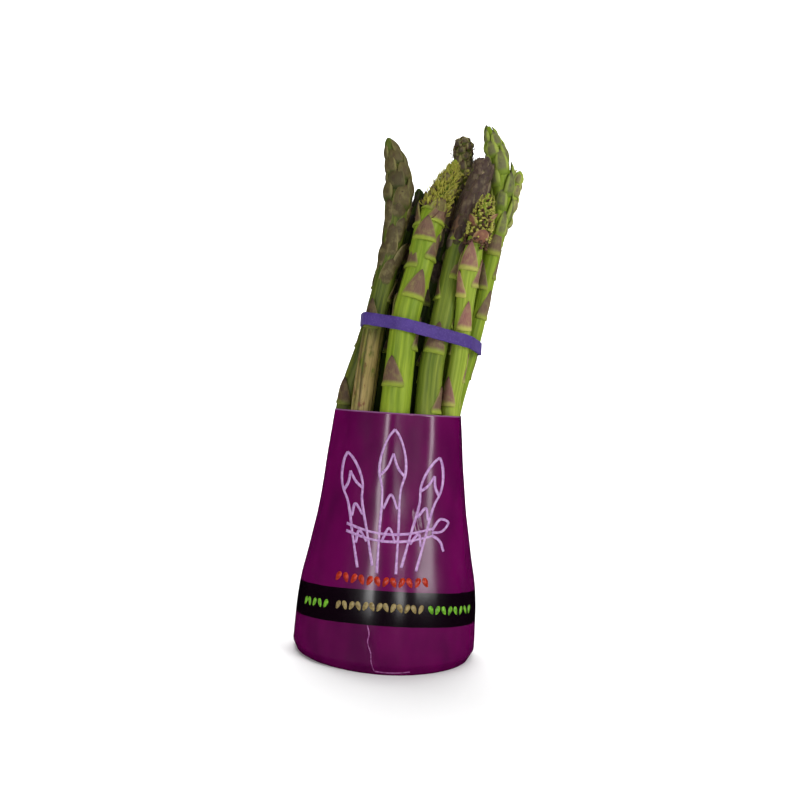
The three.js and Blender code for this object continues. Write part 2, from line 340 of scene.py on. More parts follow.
def spiral_growth_tree():
    """Copies of one template up a curve, each turned on from the last, as scale leaves grow.

    The template stands at its own origin: X points away from the stem, Y runs across and Z up.
    """
    inputs = {"Template": "Object", "Count": "Int", "Seed": "Int", "Material": "Material"}
    tree = Tree("spiral growth", inputs | dict.fromkeys(LENGTHS + ANGLES + NUMBERS, "Float"))
    given = tree.given
    index = tree.add("GeometryNodeInputIndex").outputs[0]

    def random_about(middle, spread, shift):
        seed = {"Seed": tree.math("ADD", given["Seed"], shift)}
        made = tree.add("FunctionNodeRandomValue", seed, data_type="FLOAT")
        tree.put(tree.math("SUBTRACT", middle, spread), tree.live(made.inputs, "Min"))
        tree.put(tree.math("ADD", middle, spread), tree.live(made.inputs, "Max"))
        tree.put(index, tree.live(made.inputs, "ID"))
        return tree.live(made.outputs, "Value")

    after = tree.math("MAXIMUM", tree.math("SUBTRACT", index, given["Even Steps"]), 0.0)
    extra = tree.math("SUBTRACT", given["First Step"], given["Least Step"])
    shrunk = tree.math("MULTIPLY", extra, tree.math("POWER", given["Step Shrink"], after))
    step = tree.math("ADD", given["Least Step"], shrunk)
    climbed = tree.add("GeometryNodeAccumulateField", {0: step}).outputs["Trailing"]
    height = tree.math("ADD", given["Start"], climbed)
    total = tree.add("GeometryNodeCurveLength", {0: given["Geometry"]}).outputs[0]
    left = tree.math("MAXIMUM", tree.math("SUBTRACT", total, height), 0.0)
    radius_field = tree.add("GeometryNodeInputRadius").outputs[0]

    def on_curve(at):
        made = tree.add(
            "GeometryNodeSampleCurve",
            {"Curves": given["Geometry"]},
            mode="LENGTH",
            data_type="FLOAT",
            use_all_curves=True,
        )
        tree.put(radius_field, tree.live(made.inputs, "Value"))
        tree.put(at, tree.live(made.inputs, "Length"))
        return made.outputs

    here = on_curve(height)
    above = on_curve(tree.math("ADD", height, 1.5 * MM))[0]
    below = on_curve(tree.math("SUBTRACT", height, 1.5 * MM))[0]
    radius = here[0]
    taper = tree.math("ARCTAN2", tree.math("SUBTRACT", above, below), 3 * MM)
    spun = tree.math("MULTIPLY_ADD", index, given["Turn"], given["First Turn"])
    turn = random_about(spun, given["Turn Jitter"], 1.0)
    front = tree.math("MULTIPLY", tree.math("COSINE", turn), -1.0)
    outwards = tree.vector(tree.math("SINE", turn), front)
    upright = tree.faced("Z", here["Tangent"], "X", outwards)
    away = tree.add("FunctionNodeRotateVector", {"Vector": (1, 0, 0), "Rotation": upright})
    reach = tree.math("SUBTRACT", radius, given["Sink"])
    stand = tree.vector_math("SCALE", away.outputs[0], Scale=reach)[0]
    place = tree.vector_math("ADD", here["Position"], stand)[0]
    lean = random_about(tree.math("ADD", taper, given["Lean"]), given["Lean Jitter"], 2.0)
    leant = tree.turned(upright, 0.0, lean, random_about(0.0, given["Roll Jitter"], 5.0))
    fade = tree.add(
        "ShaderNodeMapRange",
        {"Value": left, "From Max": given["Short Below Tip"], "To Min": given["Shortest"]},
    ).outputs[0]
    grow = tree.math("MULTIPLY", fade, random_about(1.0, given["Size Jitter"], 3.0))
    girth = tree.math("MAXIMUM", radius, given["Least Radius"])
    size = tree.vector(
        tree.math("MULTIPLY", girth, given["Depth"]),
        tree.math("MULTIPLY", girth, given["Width"]),
        tree.math("MULTIPLY", grow, given["Length"]),
    )
    points = tree.add("GeometryNodePoints", {"Count": given["Count"]}).outputs[0]
    copies = tree.copies(tree.moved(points, Position=place), leant, size)
    copies = tree.stored(copies, "tint", random_about(0.5, 0.5, 4.0), domain="INSTANCE")
    return tree.finish(tree.painted(tree.realized(copies), given["Material"]))


def row_of_marks_tree():
    """One printed mark on every point, turned to the point's own facing, by turns to each side."""
    tree = Tree(
        "row of marks", {"Template": "Object", "Size": "Float", "Tilt": "Float", "Ink": "Material"}
    )
    given = tree.given

    def stored_vector(name):
        made = tree.add("GeometryNodeInputNamedAttribute", {"Name": name}, data_type="FLOAT_VECTOR")
        return next(s for s in made.outputs if s.enabled)

    index = tree.add("GeometryNodeInputIndex").outputs[0]
    side = tree.math("MULTIPLY_ADD", tree.math("MODULO", index, 2.0), 2.0, -1.0)
    facing = tree.faced("X", stored_vector("facing"), "Z", stored_vector("upwards"))
    turned = tree.turned(facing, tree.math("MULTIPLY", side, given["Tilt"]))
    marks = tree.realized(tree.copies(given["Geometry"], turned, given["Size"]))
    return tree.finish(tree.painted(marks, given["Ink"]))


# ---- Materials ----


class Finish(Wiring):
    """A procedural material."""

    def __init__(self, name, **principled):
        self.material = bpy.data.materials.new(name)
        self.material.use_nodes = True
        super().__init__(self.material.node_tree)
        self.surface = self.nodes["Principled BSDF"]
        for socket, value in principled.items():
            self.surface.inputs[socket.replace("_", " ")].default_value = value

    def mix(self, factor, first, second, blend="MIX"):
        made = self.add("ShaderNodeMix", data_type="RGBA", blend_type=blend)
        self.put(factor, made.inputs[0])
        self.put(first, made.inputs[6])
        self.put(second, made.inputs[7])
        return made.outputs[2]

    def attribute(self, name, output="Fac"):
        return self.add("ShaderNodeAttribute", attribute_name=name).outputs[output]

    def noise(self, vector, scale, stretch=(1, 1, 1), detail=3.0, roughness=0.55):
        """A noise from 0 to 1, most of it in the middle, over coordinates in metres."""
        stretched = self.add("ShaderNodeMapping", {"Vector": vector, "Scale": stretch}).outputs[0]
        values = {"Vector": stretched, "Scale": scale, "Detail": detail, "Roughness": roughness}
        return self.add("ShaderNodeTexNoise", values).outputs[0]

    def between(self, value, low, high):
        """0 below low and 1 above high, easing from one to the other."""
        made = self.add(
            "ShaderNodeMapRange",
            {"Value": value, "From Min": low, "From Max": high},
            interpolation_type="SMOOTHSTEP",
        )
        return made.outputs[0]

    def place(self):
        return self.add("ShaderNodeTexCoord").outputs["Object"]

    def colour(self, value):
        self.put(value, self.surface.inputs["Base Color"])

    def rough(self, value, low, high):
        """The roughness runs from low to high as the value goes from 0 to 1."""
        values = {"Value": value, "To Min": low, "To Max": high}
        ranged = self.add("ShaderNodeMapRange", values).outputs[0]
        self.put(ranged, self.surface.inputs["Roughness"])

    def bump(self, height, distance, strength=1.0):
        values = {"Height": height, "Distance": distance, "Strength": strength}
        made = self.add("ShaderNodeBump", values)
        self.put(made.outputs[0], self.surface.inputs["Normal"])


def stem_skin(name, light, dark, low=None, dry=None):
    """The stem's ribbed green skin. `low` is its colour near the butt, `dry` withered patches."""
    skin = Finish(name, Specular_IOR_Level=0.12)
    grain = skin.attribute("grain", "Vector")
    up = skin.parts(grain)["Z"]
    fibres = skin.noise(grain, 2200.0, (1, 1, 0.02), 3.0)
    streaks = skin.noise(grain, 700.0, (1, 1, 0.045), 3.0)
    mottle = skin.noise(grain, 150.0, (1, 1, 0.3), 3.0)
    colour = skin.mix(skin.between(streaks, 0.3, 0.68), dark, light)
    pale = skin.mix(skin.between(fibres, 0.5, 0.72), (1, 1, 1, 1), (1.22, 1.18, 1.1, 1))
    colour = skin.mix(0.8, colour, pale, "MULTIPLY")
    uneven = skin.mix(skin.between(mottle, 0.3, 0.7), (0.84, 0.9, 0.82, 1), (1.1, 1.05, 1, 1))
    colour = skin.mix(0.7, colour, uneven, "MULTIPLY")
    if dry:
        patches = skin.noise(grain, 190.0, (1, 1, 0.4), 4.0, 0.65)
        above_film = skin.between(up, 0.152, 0.134)
        here = skin.math("MULTIPLY", skin.between(patches, 0.3, 0.5), above_film)
        cracks = skin.noise(grain, 700.0, (1, 1, 0.04), 3.0, 0.6)
        husk = skin.mix(skin.between(cracks, 0.36, 0.6), shade(74, 62, 34), dry)
        stains = skin.noise(grain, 330.0, (1, 1, 0.5), 3.0, 0.6)
        husk = skin.mix(skin.between(stains, 0.56, 0.7), husk, shade(104, 66, 44))
        bleached = skin.mix(skin.between(up, 0.126, 0.114), (1, 1, 1, 1), (1.16, 1.16, 1.24, 1))
        colour = skin.mix(here, colour, skin.mix(1.0, husk, bleached, "MULTIPLY"))
    if low:
        colour = skin.mix(skin.between(up, 0.085, 0.0), colour, low)
    skin.colour(colour)
    skin.rough(fibres, 0.36, 0.62)
    coarse, fine = skin.math("MULTIPLY", streaks, 0.7), skin.math("MULTIPLY", fibres, 0.3)
    skin.bump(skin.math("ADD", coarse, fine), 0.5 * MM, 0.7)
    return skin.material


def leaf_skin(name, centre, margin, lip, tip, lip_height=0.06, centre_width=0.76):
    """A scale leaf: a fleshy lip at its foot, a dry coloured middle and a thin pale margin."""
    skin = Finish(name, Specular_IOR_Level=0.16)
    flat = skin.add("ShaderNodeUVMap", uv_map="UVMap").outputs[0]
    tint = skin.attribute("tint")
    across, up = skin.parts(flat)[:2]
    place = skin.place()
    wander = skin.noise(place, 330.0, (1, 1, 1), 3.0, 0.6)
    veins = skin.noise(flat, 9.0, (3.4, 0.35, 1), 3.0, 0.6)
    off_middle = skin.math("ABSOLUTE", skin.math("SUBTRACT", across, 0.5))
    off_middle = skin.math("MULTIPLY", off_middle, 2.0)
    ragged = skin.math("MULTIPLY_ADD", skin.math("SUBTRACT", veins, 0.5), 0.5, off_middle)
    body = skin.mix(skin.between(veins, 0.35, 0.68), centre, tip)
    body = skin.mix(skin.math("MULTIPLY", skin.between(wander, 0.45, 0.7), 0.45), body, margin)
    edge = skin.between(ragged, centre_width, centre_width + 0.3)
    colour = skin.mix(edge, body, margin)
    high = skin.math("MULTIPLY_ADD", skin.math("SUBTRACT", wander, 0.5), 0.16, up)
    colour = skin.mix(skin.between(high, lip_height + 0.16, lip_height), colour, lip)
    colour = skin.mix(skin.between(high, 0.72, 1.0), colour, tip)
    shift = skin.mix(tint, (0.76, 0.76, 0.78, 1), (1.2, 1.16, 1.1, 1))
    colour = skin.mix(0.8, colour, shift, "MULTIPLY")
    skin.colour(colour)
    skin.rough(veins, 0.42, 0.7)
    skin.bump(veins, 0.35 * MM, 0.6)
    return skin.material


def cut_face():
    """The cut end of a stem: pale and wet, with the fibres' ends as dots."""
    face = Finish("cut end", Specular_IOR_Level=0.5)
    place = face.place()
    specks = face.add("ShaderNodeTexVoronoi", {"Vector": place, "Scale": 1500.0}).outputs[0]
    clouds = face.noise(place, 240.0)
    pale = face.mix(face.between(clouds, 0.35, 0.65), shade(212, 214, 158), shade(176, 186, 112))
    face.colour(face.mix(face.between(specks, 0.32, 0.12), pale, shade(150, 146, 84)))
    face.rough(clouds, 0.3, 0.6)
    face.bump(specks, 0.2 * MM, 0.5)
    return face.material


# ---- Templates ----


def closed_scale(name, across, up, outline, front, back):
    """A closed scale from two skins over the same grid.

    outline(v) is the half-width at v of its length, front and back give x, y, z at (u, v), with
    u from -1 to 1 across.
    """
    rows = [i / up for i in range(up + 1)]
    columns = [2 * j / across - 1 for j in range(across + 1)]
    vertices, uvs = [], []
    for side in (front, back):
        for v in rows:
            for u in columns:
                vertices.append(side(u * outline(v), u, v))
                uvs.append(((u + 1) / 2, v))
    wide = across + 1
    other = wide * (up + 1)
    faces = []
    for i in range(up):
        for j in range(across):
            a = i * wide + j
            faces.append((a, a + 1, a + wide + 1, a + wide))
            b = a + other
            faces.append((b, b + wide, b + wide + 1, b + 1))
    rim = list(range(wide))
    rim += [i * wide + across for i in range(1, up + 1)]
    rim += [up * wide + j for j in range(across - 1, -1, -1)]
    rim += [i * wide for i in range(up - 1, 0, -1)]
    for a, b in zip(rim, rim[1:] + rim[:1]):
        faces.append((b, a, a + other, b + other))
    return closed_mesh(name, vertices, faces, uvs, 1e-5)


def stem_leaf():
    """A leaf that hugs a stem of radius 1, a length of 1 tall, with a fleshy lip at its foot."""
    half_turn = math.radians(64)

    def outline(v):
        return (1 - v) ** 0.82 * (0.86 + 0.14 * min(v / 0.1, 1)) + 0.004

    def skin_at(lift):
        def at(wide, u, v):
            turn = wide * half_turn
            lip = 0.17 * math.exp(-(((v - 0.03) / 0.06) ** 2)) * (1 - 0.55 * u * u)
            blade = 0.045 + 0.05 * v - 0.02 * u * u
            reach = 1 + (lip + blade) * lift - 0.05 * (1 - lift)
            return reach * math.cos(turn) - 1, reach * math.sin(turn), v - 0.02 * (1 - lift)

        return at

    return closed_scale("stem leaf", 14, 12, outline, skin_at(1.0), skin_at(0.0))


def bud_scale(name, belly, hook, point=0.75, foot=0.62):
    """A head's scale: a teardrop that swells over its bud, 2 wide, 1 long, with a sharp tip."""

    def outline(v):
        return (foot + (1.87 - foot) * v) * (1 - v) ** point + 0.004

    def skin_at(lift):
        def at(wide, u, v):
            swell = belly * math.sin(math.pi * min(v * 1.05, 1)) ** 0.8
            x = 0.08 + swell - 0.6 * wide * wide + hook * v * v - 0.14 * (1 - v) ** 6
            thick = (0.07 + 0.5 * swell) * (1 - lift)
            return x - thick, wide * 0.92, v

        return at

    return closed_scale(name, 10, 10, outline, skin_at(1.0), skin_at(0.0))


def needle(name, curl):
    """A soft curled needle, one long, that rises from its foot and bends away."""
    sides, steps = 5, 6
    vertices, uvs = [], []
    for k in range(steps + 1):
        v = k / steps
        bend = curl * v
        x = math.sin(bend) / max(curl, 0.01)
        z = (1 - math.cos(bend)) / max(curl, 0.01)
        thick = 0.1 * (1 - 0.7 * v)
        for s in range(sides):
            turn = TAU * s / sides
            side_x, side_z = -math.sin(bend), math.cos(bend)
            vertices.append((
                x + thick * math.cos(turn) * side_x,
                thick * math.sin(turn),
                z + thick * math.cos(turn) * side_z,
            ))
            uvs.append((0.5, v))
    faces = ring_faces(steps + 1, sides)
    faces.append(tuple(reversed(range(sides))))
    faces.append(tuple(range(steps * sides, (steps + 1) * sides)))
    return closed_mesh(name, vertices, faces, uvs)


def floret():
    """A tiny unopened flower cluster: a lobed ball, 2 across."""
    rows, sides = 5, 8
    vertices, uvs = [(0, 0, -1)], [(0.5, 0)]
    for i in range(1, rows):
        rise = math.pi * i / rows
        for s in range(sides):
            turn = TAU * s / sides
            reach = math.sin(rise) * (1 + 0.2 * math.cos(4 * turn + i * math.pi))
            vertices.append((reach * math.cos(turn), reach * math.sin(turn), -math.cos(rise)))
            uvs.append((0.5, i / rows))
    vertices.append((0, 0, 1))
    uvs.append((0.5, 1))
    faces = ring_faces(rows - 1, sides, 1)
    last = 1 + (rows - 2) * sides
    for s in range(sides):
        after = (s + 1) % sides
        faces.append((0, 1 + after, 1 + s))
        faces.append((last + s, last + after, len(vertices) - 1))
    return closed_mesh("floret", vertices, faces, uvs)


TEMPLATES = {
    "leaf": stem_leaf(),
    "bud": bud_scale("bud scale", 0.46, -0.2),
    "long": bud_scale("long scale", 0.24, -0.1, 0.62),
    "open": bud_scale("open scale", 0.24, 0.5, 0.6),
    "paper": bud_scale("papery scale", 0.12, 0.05, 0.5, 1.0),
    "needle": needle("curled needle", 1.9),
    "hair": needle("straight needle", 0.8),
    "floret": floret(),
}

# ---- The plants' colours ----
# Each colour is its red, green and blue as they look, 0 to 255.

# The light and the dark of a stem, its colour near the butt, and its dry patches if it has any.
SKIN_COLOURS = {
    "bright": ((136, 157, 44), (104, 128, 28), (184, 182, 116)),
    "green": ((118, 132, 46), (86, 104, 30), (176, 178, 112)),
    "light": ((150, 167, 62), (122, 143, 42), (188, 188, 128)),
    "olive": ((98, 104, 36), (54, 66, 18), (168, 158, 110)),
    "withered": ((96, 106, 34), (54, 68, 16), (150, 138, 92), (146, 128, 76)),
    # shade_darkened: painted shade, the green skin darkened for the spears that stand in the shade
    # behind the front ones.
    "shade_darkened": ((58, 76, 18), (32, 44, 10), (150, 150, 90)),
}
# The middle, the margin, the lip and the tip of a leaf.
LEAF_COLOURS = {
    "mauve": ((116, 90, 70), (138, 132, 74), (136, 152, 50), (92, 68, 58)),
    "rose": ((148, 110, 92), (164, 152, 92), (166, 168, 80), (124, 82, 78)),
    "grey": ((124, 102, 76), (142, 138, 78), (142, 152, 58), (96, 78, 66)),
    "brown": ((92, 74, 50), (122, 114, 64), (98, 104, 38), (66, 50, 38)),
}
# The same of a head's scales, then how high the lip reaches and how wide the middle is.
SCALE_COLOURS = {
    "clean": ((112, 114, 70), (142, 158, 66), (112, 134, 40), (88, 88, 60), 0.16, 0.5),
    "speckled": ((146, 148, 84), (164, 170, 92), (124, 138, 54), (116, 98, 84), 0.1, 0.5),
    "closed": ((84, 80, 44), (110, 108, 60), (62, 74, 26), (56, 46, 34), 0.1, 0.6),
    "bullet": ((84, 80, 42), (112, 108, 62), (66, 72, 28), (78, 62, 42), 0.12, 0.8),
    "papery": ((78, 72, 36), (136, 128, 84), (74, 80, 28), (72, 58, 38), 0.1, 0.8),
    "purple": ((80, 66, 50), (128, 116, 88), (72, 74, 34), (62, 42, 44), 0.12, 0.62),
    # dark: painted shade, near-black scales for a head that stands in the shade behind the front
    # spears.
    "dark": ((48, 42, 38), (74, 74, 52), (42, 44, 26), (30, 24, 26), 0.1, 0.66),
    "rough": ((92, 80, 60), (124, 118, 70), (84, 92, 36), (56, 42, 38), 0.14, 0.5),
    "salmon": ((140, 96, 72), (166, 140, 92), (116, 106, 54), (120, 78, 66), 0.1, 0.7),
    "rust": ((88, 60, 46), (116, 92, 58), (70, 60, 32), (62, 40, 34), 0.1, 0.6),
    "feathery": ((124, 118, 60), (150, 150, 76), (124, 132, 50), (84, 62, 44), 0.2, 0.6),
    "needle": ((160, 160, 62), (178, 178, 76), (104, 108, 34), (146, 136, 54), 0.1, 0.8),
    "flower": ((164, 166, 72), (184, 184, 92), (120, 126, 42), (166, 156, 76), 0.1, 0.8),
}
SMALL_PARTS = ("needle", "flower")


def shades(row):
    """A row of a colour table with its colours turned into shader values."""
    return [shade(*value) if isinstance(value, tuple) else value for value in row]


CUT_FACE = cut_face()
SKINS = {key: stem_skin(key + " stem", *shades(row)) for key, row in SKIN_COLOURS.items()}
LEAVES = {key: leaf_skin(key + " leaf", *shades(row)) for key, row in LEAF_COLOURS.items()}
SCALES = {
    key: leaf_skin(key + (" skin" if key in SMALL_PARTS else " scale"), *shades(row))
    for key, row in SCALE_COLOURS.items()
}


# ---- The spears ----


class Spine:
    """The middle of a spear as a curve, read from its solid's rings."""

    def __init__(self, node):
        rings = loose_rings(node)
        heights = np.array(list(rings))
        middles = np.array([ring.mean(axis=0) for ring in rings.values()])
        radii = np.array([
            np.hypot(*(ring - ring.mean(axis=0)).T).mean() for ring in rings.values()
        ])
        self.tip = heights[-1]
        count = int(self.tip / SPINE_STEP)
        self.z = np.linspace(0, self.tip, count)
        self.xy = smooth_through(self.z, heights, middles)
        self.radius = smooth_through(self.z, heights, radii)
        path = np.column_stack([self.xy, self.z])
        self.along = np.concatenate([[0], np.cumsum(np.linalg.norm(np.diff(path, axis=0), axis=1))])
        self.path = path

    def along_at(self, z):
        return float(np.interp(z, self.z, self.along))

    def curve(self, name, head_length, core, blunt=0.0, fit=STEM_FIT):
        """A curve whose radius is the stem's, and the head's inner core near the tip.

        A blunt head keeps at least that radius up to its rounded end.
        """
        below_tip = self.tip - self.z
        in_head = np.clip((head_length - below_tip) / (0.3 * head_length), 0, 1)
        share = fit + (core - fit) * in_head
        rounding = np.sqrt(np.clip(1 - np.clip(1 - below_tip / (4 * MM), 0, 1) ** 2, 0, 1))
        fullest = np.where(below_tip < 20 * MM, blunt * rounding, 0.0)
        data = bpy.data.curves.new(name, "CURVE")
        data.dimensions = "3D"
        spline = data.splines.new("POLY")
        spline.points.add(len(self.path) - 1)
        radii = np.maximum(self.radius * share, fullest)
        for point, at, radius in zip(spline.points, self.path, radii):
            point.co = (*at, 1)
            point.radius = radius
        made = bpy.data.objects.new(name, data)
        bpy.context.scene.collection.objects.link(made)
        return made


def spaced(values):
    """Keyword values as inputs of a tree, whose names have spaces."""
    return {name.replace("_", " "): value for name, value in values.items()}


def leaves(at, turn, skin="mauve", step=15.0, below=6, count=14, length=12.5, **more):
    """Scale leaves up the stem. `at` is the height of one leaf's foot, and `turn` its bearing."""
    growth = {
        "template": "leaf", "material": LEAVES[skin], "start_z": at - below * step,
        "Count": count, "Even Steps": float(below), "First Step": step, "Least Step": 3.2,
        "Step Shrink": 0.83, "First Turn": turn - below * GOLDEN_TURN, "Turn": GOLDEN_TURN,
        "Length": length, "Width": 1.0, "Depth": 1.0, "Least Radius": 1.0,
        "Short Below Tip": 30.0, "Shortest": 0.6, "Lean": 1.0, "Sink": 0.0,
        "Turn Jitter": 7.0, "Lean Jitter": 1.5, "Roll Jitter": 0.0, "Size Jitter": 0.12,
    }
    return growth | spaced(more)


def scales(head, count, template="bud", skin="clean", **more):
    """The overlapping scales of a head that is `head` long."""
    growth = {
        "template": template, "material": SCALES[skin], "head_start": head,
        "Count": count, "Even Steps": 0.0, "First Step": 3.4, "Least Step": 1.1,
        "Step Shrink": 0.93, "First Turn": 20.0, "Turn": GOLDEN_TURN,
        "Length": 11.5, "Width": 0.78, "Depth": 0.8, "Least Radius": 1.9,
        "Short Below Tip": 30.0, "Shortest": 0.42, "Lean": 3.0, "Sink": 0.4,
        "Turn Jitter": 6.0, "Lean Jitter": 3.0, "Roll Jitter": 5.0, "Size Jitter": 0.12,
    }
    return growth | spaced(more)


def bristles(head, count, span, template="needle", skin="needle", **more):
    """Needles or florets, spread over `span` of the head."""
    step = span / count
    growth = {
        "template": template, "material": SCALES[skin], "head_start": head,
        "Count": count, "Even Steps": float(count), "First Step": step, "Least Step": step,
        "Step Shrink": 1.0, "First Turn": 0.0, "Turn": GOLDEN_TURN,
        "Length": 5.0, "Width": 1.0, "Depth": 1.0, "Least Radius": 0.0,
        "Short Below Tip": 20.0, "Shortest": 0.5, "Lean": 10.0, "Sink": 0.2,
        "Turn Jitter": 40.0, "Lean Jitter": 35.0, "Roll Jitter": 80.0, "Size Jitter": 0.3,
    }
    return growth | spaced(more)


SPEARS = {
    "spear_01": {
        "skin": "olive", "head": 40, "core": 0.82, "shrivel": 0.5,
        "growths": [
            leaves(111, -38, "brown", 14, length=12, below=0, count=9, Lean=1.0),
            scales(42, 22, "long", "closed", Length=13.0, stop=7),
        ],
    },
    "spear_02": {
        "skin": "withered", "head": 30, "core": 0.86, "blunt": 2.6, "shrivel": 0.6,
        "growths": [
            leaves(145, -34, "brown", 13, count=4, below=1, length=12.5, Lean=3.0,
                   Step_Shrink=0.9),
            scales(68, 18, "paper", "papery", Length=15.0, Lean=5.0, Width=0.8, stop=36,
                   First_Step=2.6, Least_Step=1.8, Lean_Jitter=6.0, Shortest=1.0),
            scales(33, 24, "bud", "bullet", Length=12.0, Lean=0.5, Width=1.0, Depth=0.7, stop=8,
                   First_Step=1.8, Least_Step=1.1, Least_Radius=3.0, Shortest=0.6),
        ],
    },
    "spear_03": {
        "skin": "bright", "head": 30, "core": 0.72, "blunt": 1.4, "shrivel": 0.25,
        "growths": [
            leaves(120, -33, "mauve", 16.6, count=22, length=14, Step_Shrink=0.72, Least_Step=2.2,
                   Short_Below_Tip=60.0, Shortest=0.5),
            scales(27, 8, "open", "feathery", Length=8.0, Lean=4.0, Width=0.85, stop=12),
            bristles(24, 540, 24, Length=3.0, Lean=-8.0, Width=1.1, Depth=1.1,
                     Short_Below_Tip=6.0),
            bristles(30, 26, 29, "hair", "rust", Length=3.6, Lean=-20.0, Short_Below_Tip=8.0),
        ],
    },
    "spear_04": {
        "skin": "green", "head": 46, "core": 0.88, "blunt": 4.6, "shrivel": 0.25, "fit": 1.04,
        "growths": [
            leaves(135.5, -13, "mauve", 13, count=13, length=13, Step_Shrink=0.8,
                   Least_Step=5.0),
            scales(44, 120, "long", "purple", Length=11.0, Lean=-1.0, Width=0.64, stop=1.2,
                   First_Step=0.9, Least_Step=0.3, Least_Radius=4.0, Shortest=0.42,
                   Short_Below_Tip=18.0, Lean_Jitter=6.0),
        ],
    },
    "spear_05": {
        "skin": "light", "head": 34, "core": 0.7, "shrivel": 0.25, "fit": 1.04,
        "growths": [
            leaves(113, -32, "rose", 11.5, count=18, length=12, below=9, Step_Shrink=0.66,
                   Least_Step=2.0, Even_Steps=11.0),
            scales(23, 5, "open", "salmon", Length=9.0, Lean=14.0, Width=1.2, Lean_Jitter=10.0),
            bristles(24, 90, 16, "floret", "rust", Length=0.8, Width=0.22, Depth=0.22, Sink=-1.2,
                     Size_Jitter=0.5),
            scales(22, 30, "open", "rust", Length=4.5, Lean=20.0, Width=0.5, stop=1,
                   First_Step=0.8, Least_Step=0.6, Lean_Jitter=20.0, Roll_Jitter=30.0),
            bristles(20, 240, 21, "floret", "flower", Length=0.66, Width=0.2, Depth=0.2,
                     Sink=-1.7, Size_Jitter=0.5),
            bristles(20, 90, 20, Length=2.4, Sink=-0.8),
        ],
    },
    "spear_06": {
        "skin": "bright", "head": 50, "core": 0.8, "blunt": 0.8, "shrivel": 0.25,
        "growths": [
            leaves(155, 40, "grey", 14, count=13, length=13, below=5, Step_Shrink=0.25,
                   Least_Step=5.3, Even_Steps=4.0),
            scales(52, 32, "bud", "clean", Length=12.5, Lean=4.0, Width=0.94, stop=5.5,
                   First_Step=2.7, Least_Step=1.15, Least_Radius=2.7, Shortest=0.5),
        ],
    },
    "spear_07": {
        "skin": "shade_darkened", "head": 44, "core": 0.82, "shrivel": 0.25,
        "growths": [
            leaves(158, -20, "grey", 14, count=14),
            scales(44, 26, "long", "purple", stop=6),
        ],
    },
    "spear_08": {
        "skin": "shade_darkened", "head": 50, "core": 0.86, "blunt": 2.4, "shrivel": 0.3,
        "growths": [
            leaves(120, 40, "brown", 15, count=13),
            scales(50, 30, "long", "dark", Length=14.0, Lean=-2.0, Width=0.8, stop=9,
                   Least_Radius=3.0, Shortest=0.6),
        ],
    },
    "spear_09": {
        "skin": "olive", "head": 48, "core": 0.8, "blunt": 4.0, "shrivel": 0.3,
        "growths": [
            leaves(120, 10, "grey", 16, count=15),
            scales(48, 64, "bud", "rough", Length=8.0, Lean=1.0, Width=0.7, stop=0.8,
                   First_Step=2.0, Least_Step=0.5, Lean_Jitter=8.0, Least_Radius=3.3,
                   Shortest=0.42, Short_Below_Tip=20.0, Roll_Jitter=14.0),
            bristles(30, 90, 14, "floret", "flower", Length=0.7, Width=0.2, Depth=0.2,
                     Sink=-1.0),
            bristles(12, 60, 11, "needle", "rust", Length=1.8, Sink=-0.4),
        ],
    },
    "spear_10": {
        "skin": "light", "head": 48, "core": 0.84, "blunt": 2.6, "shrivel": 0.25,
        "growths": [
            leaves(120, 70, "grey", 15, count=13),
            scales(48, 38, "bud", "speckled", Length=8.0, Width=0.9, stop=4, First_Step=2.4,
                   Least_Step=1.0, Least_Radius=2.6, Shortest=0.6),
        ],
    },
    "spear_11": {
        "skin": "green", "head": 46, "core": 0.82, "shrivel": 0.25,
        "growths": [
            leaves(120, 150, "mauve", 15),
            scales(46, 26, "bud", "clean", Width=0.95, stop=6, Least_Radius=2.8),
        ],
    },
    "spear_12": {
        "skin": "shade_darkened", "head": 44, "core": 0.82, "shrivel": 0.25,
        "growths": [
            leaves(120, 200, "grey", 15, count=10),
            scales(44, 26, "long", "closed", stop=6),
        ],
    },
    "spear_13": {
        "skin": "olive", "head": 46, "core": 0.84, "shrivel": 0.3,
        "growths": [
            leaves(118, 230, "brown", 14),
            scales(46, 26, "long", "closed", Length=13.0, Width=0.9, stop=8, Least_Radius=2.8),
        ],
    },
    "spear_14": {
        "skin": "bright", "head": 48, "core": 0.82, "shrivel": 0.25,
        "growths": [
            leaves(126, 120, "mauve", 15),
            scales(48, 28, "bud", "purple", Width=0.95, stop=6, Least_Radius=2.8),
        ],
    },
}

STEM_TREE = ribbed_stem_tree()
GROWTH_TREE = spiral_growth_tree()


def growth_values(growth, spine, seed):
    """A growth's tree inputs in metres and radians, its count kept to what fits the spear."""
    values = dict(growth)
    head_start = values.pop("head_start", None)
    start_z = values.pop("start_z", None)
    if head_start is not None:
        start_z = spine.tip / MM - head_start
    while start_z < SLEEVE_TOP / MM + 0.5:
        start_z += values["First Step"]
        values["Even Steps"] -= 1
        values["First Turn"] += values["Turn"]
        values["Count"] -= 1
    start = spine.along_at(start_z * MM)
    values["Template"] = TEMPLATES[values.pop("template")]
    values["Material"] = values.pop("material")
    values["Start"] = start / MM
    stop = values.pop("stop", 1.0)
    room = spine.along[-1] / MM - values["Start"] - stop
    count, climbed = 0, 0.0
    while count < values["Count"] and climbed < room:
        after = max(count - values["Even Steps"], 0)
        extra = values["First Step"] - values["Least Step"]
        climbed += values["Least Step"] + extra * values["Step Shrink"] ** after
        count += 1
    values["Count"] = count
    values["Seed"] = seed
    for key in LENGTHS:
        values[key] = values[key] * MM
    for key in ANGLES:
        values[key] = math.radians(values[key])
    return values


